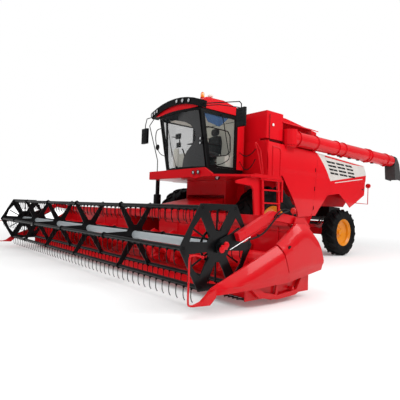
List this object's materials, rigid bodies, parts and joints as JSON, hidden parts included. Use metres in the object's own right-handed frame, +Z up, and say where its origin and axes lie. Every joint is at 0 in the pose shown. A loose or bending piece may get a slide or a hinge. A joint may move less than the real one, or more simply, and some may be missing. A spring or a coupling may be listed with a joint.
{
  "type": "combine harvester",
  "caption": "Self-propelled grain combine harvester with wide header, tined reel, glazed cab, open grain tank and a folding side unloading auger.",
  "frame": {"origin": "on the ground, under the middle of the overall box", "axes": "+Z up, -Y the way the machine drives, +X its left side"},
  "size_m": [8.35, 11.431, 3.9],
  "materials": {
    "red_paint": "gloss red enamel",
    "black_paint": "semi-gloss black enamel",
    "rim_yellow": "gloss orange-yellow enamel",
    "tyre": "matt tread rubber",
    "spout_rubber": "matt black rubber",
    "bright_steel": "polished ram rod",
    "cab_plastic": "grained dark trim",
    "tinted_glass": "smoked safety glass"
  },
  "bodies": {
    "chassis": {"chassis_frame": "red_paint", "front_axle": "red_paint", "rear_axle": "red_paint", "threshing_body": "red_paint", "side_panel_front_left": "red_paint", "side_panel_front_right": "red_paint", "rear_hood": "red_paint", "engine": "black_paint", "straw_chopper": "black_paint", "grain_tank": "red_paint", "platform": "red_paint", "ladder": "red_paint", "handrails": "red_paint", "cab_frame": "black_paint", "cab_roof": "red_paint", "light_bar_and_mirrors": "black_paint", "windscreen": "tinted_glass", "side_window_frame": "black_paint", "side_window_glass": "tinted_glass", "seat": "cab_plastic", "steering_column": "cab_plastic"},
    "front_wheel_left": {"front_tyre_left": "tyre", "front_rim_left": "rim_yellow"},
    "front_wheel_right": {"front_tyre_right": "tyre", "front_rim_right": "rim_yellow"},
    "knuckle_left": {"knuckle_left": "red_paint"},
    "knuckle_right": {"knuckle_right": "red_paint"},
    "rear_wheel_left": {"rear_tyre_left": "tyre", "rear_rim_left": "rim_yellow"},
    "rear_wheel_right": {"rear_tyre_right": "tyre", "rear_rim_right": "rim_yellow"},
    "cab_door": {"cab_door": "black_paint", "cab_door_glass": "tinted_glass"},
    "side_door_left": {"side_door_left": "red_paint"},
    "side_door_right": {"side_door_right": "red_paint"},
    "unloading_auger": {"unloading_auger": "red_paint", "unloading_spout": "spout_rubber"},
    "header": {"feeder_house": "red_paint", "header_frame": "red_paint", "cutterbar": "black_paint", "divider_front_left": "red_paint", "divider_front_right": "red_paint", "divider_rear_left": "red_paint", "divider_rear_right": "red_paint"},
    "lift_barrels": {"lift_barrel_left": "red_paint", "lift_barrel_right": "red_paint"},
    "lift_rods": {"lift_rod_left": "bright_steel", "lift_rod_right": "bright_steel"},
    "table_auger": {"table_auger": "red_paint"},
    "reel_arms": {"reel_arm_left": "red_paint", "reel_arm_right": "red_paint"},
    "reel_carriage": {"reel_carriage_left": "black_paint", "reel_carriage_right": "black_paint"},
    "reel": {"reel_frame": "black_paint"},
    "bat_1": {"bat_1": "black_paint"},
    "bat_2": {"bat_2": "black_paint"},
    "bat_3": {"bat_3": "black_paint"},
    "bat_4": {"bat_4": "black_paint"},
    "bat_5": {"bat_5": "black_paint"},
    "bat_6": {"bat_6": "black_paint"}
  },
  "joints": [
    {"name": "front_wheel_left_spin", "type": "hinge", "parent": "chassis", "child": "front_wheel_left", "pos_m": [1.444, -1.314, 0.9], "axis": [1, 0, 0], "continuous": true},
    {"name": "front_wheel_right_spin", "type": "hinge", "parent": "chassis", "child": "front_wheel_right", "pos_m": [-1.444, -1.314, 0.9], "axis": [1, 0, 0], "continuous": true},
    {"name": "steer_left", "type": "hinge", "parent": "chassis", "child": "knuckle_left", "pos_m": [1, 2.164, 0.67], "axis": [0, 0, 1], "range_deg": [-30, 30]},
    {"name": "steer_right", "type": "hinge", "parent": "chassis", "child": "knuckle_right", "pos_m": [-1, 2.164, 0.67], "axis": [0, 0, 1], "range_deg": [-30, 30]},
    {"name": "rear_wheel_left_spin", "type": "hinge", "parent": "knuckle_left", "child": "rear_wheel_left", "pos_m": [1.301, 2.164, 0.67], "axis": [1, 0, 0], "continuous": true},
    {"name": "rear_wheel_right_spin", "type": "hinge", "parent": "knuckle_right", "child": "rear_wheel_right", "pos_m": [-1.301, 2.164, 0.67], "axis": [1, 0, 0], "continuous": true},
    {"name": "cab_door_hinge", "type": "hinge", "parent": "chassis", "child": "cab_door", "pos_m": [0.8123, -1.726, 2.18], "axis": [0, 0, 1], "range_deg": [0, 70]},
    {"name": "side_door_left_hinge", "type": "hinge", "parent": "chassis", "child": "side_door_left", "pos_m": [1.45, 0.774, 2], "axis": [0, 0, -1], "range_deg": [0, 80]},
    {"name": "side_door_right_hinge", "type": "hinge", "parent": "chassis", "child": "side_door_right", "pos_m": [-1.45, 0.774, 2], "axis": [0, 0, 1], "range_deg": [0, 80]},
    {"name": "unloading_auger_swing", "type": "hinge", "parent": "chassis", "child": "unloading_auger", "pos_m": [1.38, -0.414, 3.07], "axis": [0, 0, -1], "range_deg": [0, 95]},
    {"name": "header_lift", "type": "hinge", "parent": "chassis", "child": "header", "pos_m": [0, -1.864, 1.25], "axis": [-1, 0, 0], "range_deg": [0, 18]},
    {"name": "lift_barrel_swing", "type": "hinge", "parent": "chassis", "child": "lift_barrels", "pos_m": [0, -1.614, 0.62], "axis": [-1, 0, 0], "range_deg": [0, 15.13]},
    {"name": "lift_rod_slide", "type": "slide", "parent": "lift_barrels", "child": "lift_rods", "axis": [0, -0.9849, -0.1733], "range_m": [0, 0.2013]},
    {"name": "table_auger_spin", "type": "hinge", "parent": "header", "child": "table_auger", "pos_m": [0, -4.064, 0.5], "axis": [1, 0, 0], "continuous": true},
    {"name": "reel_arms_lift", "type": "hinge", "parent": "header", "child": "reel_arms", "pos_m": [0, -3.654, 1.09], "axis": [-1, 0, 0], "range_deg": [0, 22]},
    {"name": "reel_slide", "type": "slide", "parent": "reel_arms", "child": "reel_carriage", "axis": [0, 0.9117, 0.4108], "range_m": [0, 0.12]},
    {"name": "reel_spin", "type": "hinge", "parent": "reel_carriage", "child": "reel", "pos_m": [0, -5.114, 0.778], "axis": [1, 0, 0], "continuous": true},
    {"name": "bat_1_turn", "type": "hinge", "parent": "reel", "child": "bat_1", "pos_m": [0, -4.568, 0.778], "axis": [1, 0, 0], "continuous": true},
    {"name": "bat_2_turn", "type": "hinge", "parent": "reel", "child": "bat_2", "pos_m": [0, -4.841, 1.25085], "axis": [1, 0, 0], "continuous": true},
    {"name": "bat_3_turn", "type": "hinge", "parent": "reel", "child": "bat_3", "pos_m": [0, -5.387, 1.25085], "axis": [1, 0, 0], "continuous": true},
    {"name": "bat_4_turn", "type": "hinge", "parent": "reel", "child": "bat_4", "pos_m": [0, -5.66, 0.778], "axis": [1, 0, 0], "continuous": true},
    {"name": "bat_5_turn", "type": "hinge", "parent": "reel", "child": "bat_5", "pos_m": [0, -5.387, 0.30515], "axis": [1, 0, 0], "continuous": true},
    {"name": "bat_6_turn", "type": "hinge", "parent": "reel", "child": "bat_6", "pos_m": [0, -4.841, 0.30515], "axis": [1, 0, 0], "continuous": true}
  ],
  "couplings": [
    {"joint": "steer_right", "follows": "steer_left", "ratio": 1},
    {"joint": "lift_barrel_swing", "follows": "header_lift", "ratio": 0.8378},
    {"joint": "lift_rod_slide", "follows": "header_lift", "m_per_rad": 0.6377},
    {"joint": "bat_1_turn", "follows": "reel_spin", "ratio": -1},
    {"joint": "bat_2_turn", "follows": "reel_spin", "ratio": -1},
    {"joint": "bat_3_turn", "follows": "reel_spin", "ratio": -1},
    {"joint": "bat_4_turn", "follows": "reel_spin", "ratio": -1},
    {"joint": "bat_5_turn", "follows": "reel_spin", "ratio": -1},
    {"joint": "bat_6_turn", "follows": "reel_spin", "ratio": -1}
  ]
}
